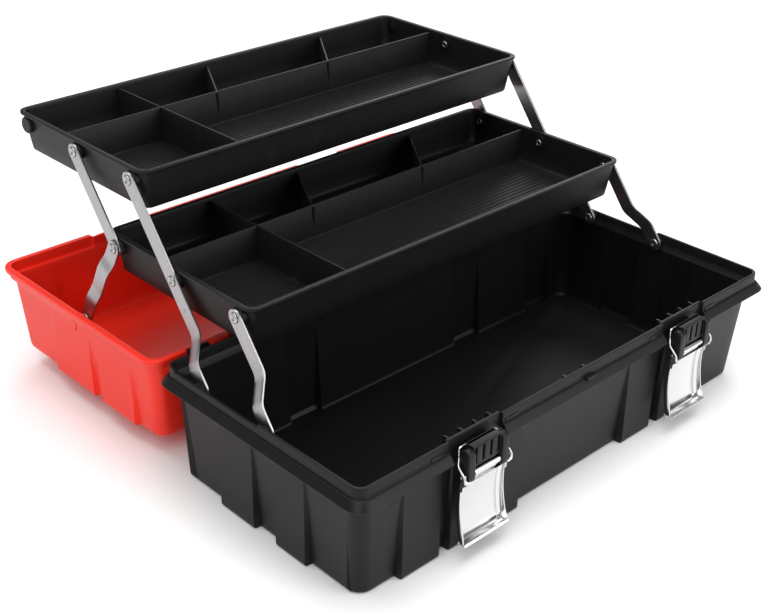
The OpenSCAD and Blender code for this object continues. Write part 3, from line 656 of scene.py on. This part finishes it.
def stripPiece(name, node, body, pivot, angle, length, stations, side, dents=()):
    half, thick = linkShape["width"] / 2, linkShape["thick"]
    path = rounded([(t, x, 0) for t, x in stations], 4.0, 6)
    total = [p.x for p in path]
    fine = []
    for k in range(9):
        a = math.pi / 2 * k / 8
        fine.append(-half * math.cos(a))
        fine.append(length + half * math.sin(a))
    knots = sorted(set([round(v, 4) for v in fine + [t for t in total if 0 < t < length]]))

    def faceX(t):
        if t <= path[0].x:
            return path[0].y
        for p, q in zip(path, path[1:]):
            if p.x <= t <= q.x:
                return p.y + (q.y - p.y) * ((t - p.x) / max(1e-6, q.x - p.x))
        return path[-1].y

    rings = []
    edge = 0.35
    for t in knots:
        w = half
        if t < 0:
            w = math.sqrt(max(0.16, half * half - t * t))
        if t > length:
            w = math.sqrt(max(0.16, half * half - (t - length) ** 2))
        e = min(edge, w * 0.5)
        x = faceX(t)
        row = [(w, e), (w, thick - e), (w - e, thick), (w * 0.4, thick), (-w * 0.4, thick), (-w + e, thick),
               (-w, thick - e), (-w, e), (-w + e, 0), (-w * 0.4, 0), (w * 0.4, 0), (w - e, 0)]
        rings.append([(t, d[0], x + d[1]) for d in row])
    strip = Parts()
    c, s = math.cos(math.radians(angle)), math.sin(math.radians(angle))
    strip.loft([[(side * x, pivot[0] + t * c - w * s, pivot[1] + t * s + w * c) for t, w, x in ring] for ring in rings])
    for t in dents:
        # pressed stop pip
        strip.lathe([(0, 1.5), (0.25, 1.3), (0.5, 0.7), (0.55, 0.2)],
                    (side * (faceX(t) + thick - 0.05), pivot[0] + t * c, pivot[1] + t * s), 16, side)
    return strip.piece(name, finishes["link"], body, [node], "link_steel", 40)


def baseRun(length):
    # a strip jogged inward between its base pivot and the lower tray
    far, near = linkShape["far"], linkShape["near"]
    return [(-7, far), (16, far), (34, near), (length + 7, near)]


eye = (box["lidMidY"] + 5.5, box["lidRimZ"] - 14.0)
lidRun = (eye[0] - lowerRear[0], eye[1] - lowerRear[1])
lidLength, lidAngle = math.hypot(*lidRun), math.degrees(math.atan2(lidRun[1], lidRun[0]))
short, long, near = crank["length"], 2 * crank["length"], linkShape["near"]
over, middle, outer = linkShape["over"], linkShape["mid"], linkShape["eye"]
lidStations = [(-7, over), (12, over), (22, middle), (46, middle), (56, outer), (lidLength + 7, outer)]
for side, word in ((-1, "left"), (1, "right")):
    cap = word.capitalize()
    stripPiece("frontLink" + cap, "front_link_" + word, "front_links", frontPivot, crank["open"], short,
               baseRun(short), side)
    stripPiece("longLink" + cap, "long_link_" + word, "long_links", rearPivot, crank["open"], long,
               baseRun(long), side, (52.0,))
    stripPiece("rearLink" + cap, "rear_link_" + word, "rear_links", lowerRear, crank["open"], short,
               [(-7, near), (short + 7, near)], side)
    stripPiece("lidLink" + cap, "lid_link_" + word, "lid_links", lowerRear, lidAngle, lidLength, lidStations, side)


def rivetSet(name, node, body, pivot, faceX, tailX, out):
    # tubular rivets with a rolled head, one on each side
    head = [(-0.05, 0.4), (0.25, 0.5), (0.32, 1.25), (0.62, 1.55), (0.88, 2.1), (0.9, 2.8), (0.72, 3.4),
            (0.35, 3.8), (0.0, 3.9), (-0.02, 1.9)]
    rivets = Parts()
    for e in (-1, 1):
        span = abs(faceX - tailX)
        prof = [(-span, 0.5)] + [(-span, 1.9)] + head[::-1]
        rivets.lathe(prof, (e * faceX, pivot[0], pivot[1]), 32, e * out)
        if out > 0:
            tail = [(0, 0.9), (-0.3, 1.2), (-0.75, 1.9), (-0.8, 2.5), (-0.5, 3.0), (0.0, 3.2)]
            rivets.lathe(tail, (e * tailX, pivot[0], pivot[1]), 28, e)
    return rivets.piece(name, finishes["rivet"], body, [node], "rivet_steel", 50)


def shifted(mid, k):
    # the pivot k places behind a tray's middle one
    return (mid[0] + trayShape["pivotGap"] * k, mid[1])


rivetSet("baseFrontRivets", "base_front_rivets", "base", frontPivot, linkShape["baseHead"], linkShape["baseTail"], -1)
rivetSet("baseRearRivets", "base_rear_rivets", "base", rearPivot, linkShape["baseHead"], linkShape["baseTail"], -1)
for name, node, body, mid, k, face in (
        ("lowerFrontRivets", "lower_front_rivets", "lower_tray", lowerMid, -1, "trayHead"),
        ("lowerMiddleRivets", "lower_middle_rivets", "lower_tray", lowerMid, 0, "trayHead"),
        ("lowerRearRivets", "lower_rear_rivets", "lower_tray", lowerMid, 1, "rearHead"),
        ("upperFrontRivets", "upper_front_rivets", "upper_tray", upperMid, -1, "trayHead"),
        ("upperMiddleRivets", "upper_middle_rivets", "upper_tray", upperMid, 0, "trayHead")):
    rivetSet(name, node, body, shifted(mid, k), linkShape[face], trayShape["bossX"], 1)
eyes = Parts()
for e in (-1, 1):
    eyes.lathe([(-2.1, 1.8), (-1.8, 1.9), (0.0, 1.9), (0.0, 3.9), (0.35, 3.8), (0.7, 3.4), (0.88, 2.6), (0.85, 1.9),
                (0.45, 1.4), (0.4, 0.4)], (e * 199.5, eye[0], eye[1]), 32, e)
eyes.piece("lidLinkRivets", finishes["rivet"], "lid_links", ["lid_link_rivets"], "rivet_steel", 50)
print("links and rivets made")


latch = {"width": 41.0, "pivotY": -106.0, "pivotZ": 66.4, "curve": 100.0, "sheet": 1.0, "flangeTop": 2.6,
         "flangeLow": 5.6, "bend": 3.6, "earOut": 18.5, "earIn": 12.5, "tongue": 11.4, "wire": 0.95}


def latchPlate(name, node, body, cx):
    half, sheet, curve, bend = latch["width"] / 2, latch["sheet"], latch["curve"], latch["bend"]
    cy, cz = latch["pivotY"] + 5.2 - curve, latch["pivotZ"] - 25.4

    def onArc(z, inset=0.0):
        return cy + math.sqrt((curve + inset) ** 2 - (z - cz) ** 2)

    plate = Parts()
    zLow, zTop, zEar = cz - 26.0, latch["pivotZ"] - 7.4, latch["pivotZ"] - 1.8
    # section across the plate: u across, v towards the viewer, sides turned up with a wide bend
    rows = [zLow + (zTop - zLow) * k / 22 for k in range(23)]
    rings = []
    for z in rows:
        nrm = Vector((0, (onArc(z) - cy), (z - cz))).normalized()
        back = Vector((0, onArc(z, sheet), z))
        t = (z - zLow) / (zTop - zLow)
        depth = sheet + latch["flangeLow"] + (latch["flangeTop"] - latch["flangeLow"]) * t
        low = max(0.0, 1 - t / 0.16)
        flare = 1.5 * low * low
        turn = [math.pi / 2 * k / 7 for k in range(8)]
        outside = [(half - bend + bend * math.sin(a), bend - bend * math.cos(a)) for a in turn]
        tight = bend - sheet
        inside = [(half - bend + tight * math.sin(a), bend - tight * math.cos(a)) for a in turn[::-1]]
        edge = max(depth, bend + 0.3)
        right = outside + [(half, edge - 0.35), (half - 0.15, edge - 0.08), (half - 0.5, edge)]
        right += [(half - sheet + 0.12, edge - 0.08), (half - sheet, edge - 0.35)] + inside
        right = [(u + flare * max(0.0, v - 1.0) / edge, v) for u, v in right]
        loop = right + [(-u, v) for u, v in reversed(right)]
        rings.append([(cx + u, back.y - nrm.y * v, back.z - nrm.z * v) for u, v in loop])
    plate.loft(rings)
    for s in (-1, 1):
        # ears of the sides, leaning forward to the bail's eyes
        ear = []
        base = onArc(zTop, sheet)
        for z, back, front in ((zTop - 4.0, 2.2, 4.2), (zTop, 2.0, 4.8), (zTop + 2.6, 2.4, 7.6), (zEar - 0.9, 3.2, 8.2),
                               (zEar, 4.2, 7.4)):
            u0, u1 = (half - sheet, half) if s > 0 else (-half, -half + sheet)
            ear.append([(cx + u0, base - back, z), (cx + u1, base - back, z), (cx + u1, base - front, z),
                        (cx + u0, base - front, z)])
        plate.loft(ear)
    # tongue rolled round the pin
    py, pz = latch["pivotY"], latch["pivotZ"]
    a0 = latch["tongue"]

    def curl(r):
        turn = [math.radians(-15 + 290 * k / 14) for k in range(15)]
        return [(r * math.cos(a), r * math.sin(a)) for a in turn]

    tongue = [(onArc(zTop - 4, sheet) - py, zTop - 4 - pz), (1.9, -5.0), (2.1, -2.5)] + curl(2.45)
    inside = [(onArc(zTop - 4, 0.05) - py, zTop - 4 - pz), (0.9, -5.0), (1.0, -2.5)] + curl(1.42)
    loop = tongue + inside[::-1]
    plate.loft([[(cx + u, py + y, pz + z) for y, z in loop] for u in (-a0, -a0 + 0.3, a0 - 0.3, a0)])
    # lip along the bottom, curled forward
    yl = onArc(zLow, 0)
    lipPath = [(sheet, 0.4), (sheet - 0.2, -0.7), (-0.8, -1.2), (-3.6, -1.3), (-5.2, -1.5), (-6.3, -0.9), (-6.5, 0.2),
               (-5.9, 1.1), (-5.0, 1.0)]
    inPath = [(0.0, 0.8), (-0.1, 0.3), (-1.0, -0.1), (-3.6, -0.2), (-4.8, -0.45), (-5.4, -0.3), (-5.5, 0.1),
              (-5.3, 0.35), (-4.9, 0.4)]
    loop = lipPath + inPath[::-1]
    plate.loft([[(cx + u, yl + y, zLow + z) for y, z in loop] for u in (-half, -half + 0.4, half - 0.4, half)])
    return plate.piece(name, finishes["plate"], body, [node], "latch_steel", 38)


def latchBlock(name, node, cx):
    block = Parts()
    eIn, eOut = latch["earIn"], latch["earOut"]
    block.block(cx - eIn - 0.3, cx + eIn + 0.3, -102.6, -99.8, 70.6, 86.0, 0.4)
    block.block(cx - eIn - 0.3, cx + eIn + 0.3, -106.9, -100.2, 70.6, 73.2, 0.4)
    block.block(cx - eIn - 0.3, cx + eIn + 0.3, -106.8, -99.9, 84.4, 86.0, 0.5)
    edges = [-eIn] + [k * 7 + d for k in (-1.5, -0.5, 0.5, 1.5) for d in (-1, 1)] + [eIn]
    for a, b in zip(edges[::2], edges[1::2]):
        block.block(cx + a, cx + b, -107.0, -101.5, 72.6, 85.4, 0.45)
    block.block(cx - eIn + 1, cx + eIn - 1, -101.5, -94.7, 72.4, 81.6, 0.5)
    for s in (-1, 1):
        x0, x1 = sorted((cx + s * eIn, cx + s * eOut))
        # side ear: a rounded plate from the pin up to the top
        out = []
        for a in range(0, 181, 15):
            out.append((-105.0 + 4.0 * math.cos(math.radians(a)), 81.0 + 3.6 * math.sin(math.radians(a))))
        out += [(-109.0, 74.0), (-109.0, 64.5)]
        for a in range(180, 361, 15):
            out.append((-105.6 + 3.4 * math.cos(math.radians(a)), 64.4 + 3.3 * math.sin(math.radians(a))))
        out += [(-99.9, 72.0), (-99.9, 80.0)]
        mid = (sum(p[0] for p in out) / len(out), sum(p[1] for p in out) / len(out))

        def ringAt(x, grow):
            return [(x, mid[0] + (p[0] - mid[0]) * grow, mid[1] + (p[1] - mid[1]) * grow) for p in out]

        block.loft([ringAt(x0, 0.93), ringAt(x0 + 0.15, 0.975), ringAt(x0 + 0.5, 1.0), ringAt(x1 - 0.5, 1.0),
                    ringAt(x1 - 0.15, 0.975), ringAt(x1, 0.93)])
    return block.piece(name, finishes["latchBlock"], "base", [node], "latch_plastic", 40)


def latchBail(name, node, body, cx):
    y, z, x = latch["pivotY"] - 2.6, latch["pivotZ"] - 1.2, latch["width"] / 2
    half = [(x - 3.4, y, z - 2.4), (x + 0.95, y, z - 2.4), (x + 0.95, y, z + 1.6), (x + 0.6, y + 6.6, z + 8.0),
            (17.2, -99.0, 77.0), (17.0, -98.25, 83.2)]
    way = [Vector((cx - x, y, z)) for x, y, z in half] + [Vector((cx + x, y, z)) for x, y, z in half[::-1]]
    bail = Parts()
    bail.tube(rounded(way, 1.8, 6), latch["wire"], 16)
    return bail.piece(name, finishes["wire"], body, [node], "latch_wire", 60)


def latchPin(name, node, cx):
    pin = Parts()
    pin.rod(cx - 21.0, cx + 21.0, latch["pivotY"], latch["pivotZ"], 1.25, 0.1, 24)
    for s in (-1, 1):
        ring = [(20.55, 0.5), (20.55, 1.7), (20.7, 2.0), (21.1, 2.05), (21.4, 1.8), (21.45, 1.3), (21.3, 1.0),
                (21.2, 0.3)]
        pin.lathe(ring, (cx, latch["pivotY"], latch["pivotZ"]), 24, s)
    return pin.piece(name, finishes["wire"], "base", [node], "latch_wire", 50)


for word, sx in (("left", -1), ("right", 1)):
    cap, cx = word.capitalize(), sx * box["latchX"]
    latchBlock("latchBlock" + cap, "latch_block_" + word, cx)
    latchPlate("latchPlate" + cap, "latch_plate_" + word, "latch_lever_" + word, cx)
    latchBail("latchBail" + cap, "latch_bail_" + word, "bail_" + word, cx)
    latchPin("latchPin" + cap, "latch_pin_" + word, cx)
print("latches made")


handleShape = {"half": 70.0, "reach": 35.0, "y": 208.0, "z": 7.5}


def carryHandle():
    h = handleShape
    bar = Parts()
    for e in (-1, 1):
        x0, x1 = sorted((e * (h["half"] - 6), e * (h["half"] + 4)))
        bar.rod(x0, x1, h["y"], h["z"], 6.5, 0.8)
        bar.block(x0, x1, h["y"], h["y"] + h["reach"], h["z"] - 5.8, h["z"] + 4.9, 1.6, 4)
    # the grip's finger waves
    gripR, wave, depth = 6.95, 24.67, 0.35
    prof = [(0, 5.4), (0.6, 6.4), (1.8, gripR)]
    prof += [(x, gripR - depth * (1 - math.cos(2 * math.pi * x / wave))) for x in range(8, 141, 3)]
    prof += [(146.2, gripR), (147.4, 6.4), (148, 5.4)]
    bar.lathe(prof, (-h["half"] - 4, h["y"] + h["reach"], h["z"] - 0.5), 32)
    bar.piece("carryHandle", finishes["handle"], "handle", ["lid_handle"], "handle_plastic", 40)
    pins = Parts()
    for e in (-1, 1):
        x0, x1 = sorted((e * 64.0, e * 78.5))
        pins.rod(x0, x1, h["y"], h["z"], 2.5, 0.4, 28)
    pins.piece("handlePins", finishes["pin"], "lid", ["handle_pins"], "pin_steel")
    rod = Parts()
    rod.rod(-185.3, 185.0, box["hingeY"], box["hingeZ"], 1.5, 0.3, 28)
    rod.piece("hingePin", finishes["pin"], "hinge_rod", ["hinge_pin"], "pin_steel")


carryHandle()
print("handle made")


def stage():
    bpy.ops.mesh.primitive_plane_add(size=30, location=(0, 0, -0.0003))
    floor = bpy.context.object
    floor.name = "floor"
    f = Finish("paleFloor", Roughness=0.75)
    tone = f.noise(2.0, 2.0)
    f.feed("Base Color", f.mix(tone, (0.93, 0.93, 0.93, 1), (0.95, 0.95, 0.95, 1)))
    floor.data.materials.append(f.mat)
    world = bpy.data.worlds.new("studio")
    bpy.context.scene.world = world
    world.use_nodes = True
    world.node_tree.nodes["Background"].inputs[0].default_value = (1, 1, 1, 1)
    world.node_tree.nodes["Background"].inputs[1].default_value = 0.36
    # place, size in metres, power in watts
    lamps = {"key": ((-1.6, -0.9, 1.9), 1.6, 20), "front": ((0.9, -2.2, 1.2), 1.8, 34),
             "top": ((0.0, 0.2, 2.6), 2.4, 62), "rim": ((1.8, 1.6, 1.4), 1.4, 16)}
    for name, (place, size, power) in lamps.items():
        data = bpy.data.lights.new(name, "AREA")
        data.shape, data.size, data.energy = "SQUARE", size, power
        lamp = bpy.data.objects.new(name, data)
        lamp.location = place
        lamp.rotation_euler = (Vector((0, 0.1, 0.08)) - Vector(place)).to_track_quat("-Z", "Y").to_euler()
        bpy.context.scene.collection.objects.link(lamp)


pictureWidth, sensorWidth = 768, 36.0
cameraFit = {"focal": 1329.0, "azimuth": -43.4487, "elevation": 27.3712, "roll": 0.6541,
             "place": (-0.6334, -0.5568, 0.5547), "shiftX": -7.6449, "shiftY": -31.466}


def camera():
    az, el, roll = (math.radians(cameraFit[k]) for k in ("azimuth", "elevation", "roll"))
    back = Vector((math.sin(az) * math.cos(el), -math.cos(az) * math.cos(el), math.sin(el)))
    right = Vector((math.cos(az), math.sin(az), 0))
    up = back.cross(right)
    r2 = right * math.cos(roll) + up * math.sin(roll)
    u2 = up * math.cos(roll) - right * math.sin(roll)
    data = bpy.data.cameras.new("camera")
    data.sensor_width, data.sensor_fit = sensorWidth, "HORIZONTAL"
    data.lens = cameraFit["focal"] / pictureWidth * sensorWidth
    data.shift_x = -cameraFit["shiftX"] / pictureWidth
    data.shift_y = cameraFit["shiftY"] / pictureWidth
    data.clip_start, data.clip_end = 0.01, 50
    cam = bpy.data.objects.new("camera", data)
    m = Matrix((r2, u2, back)).transposed().to_4x4()
    m.translation = Vector(cameraFit["place"])
    cam.matrix_world = m
    bpy.context.scene.collection.objects.link(cam)
    bpy.context.scene.camera = cam


stage()
camera()
bpy.context.scene.view_settings.view_transform = "Standard"
print("stage and camera made")
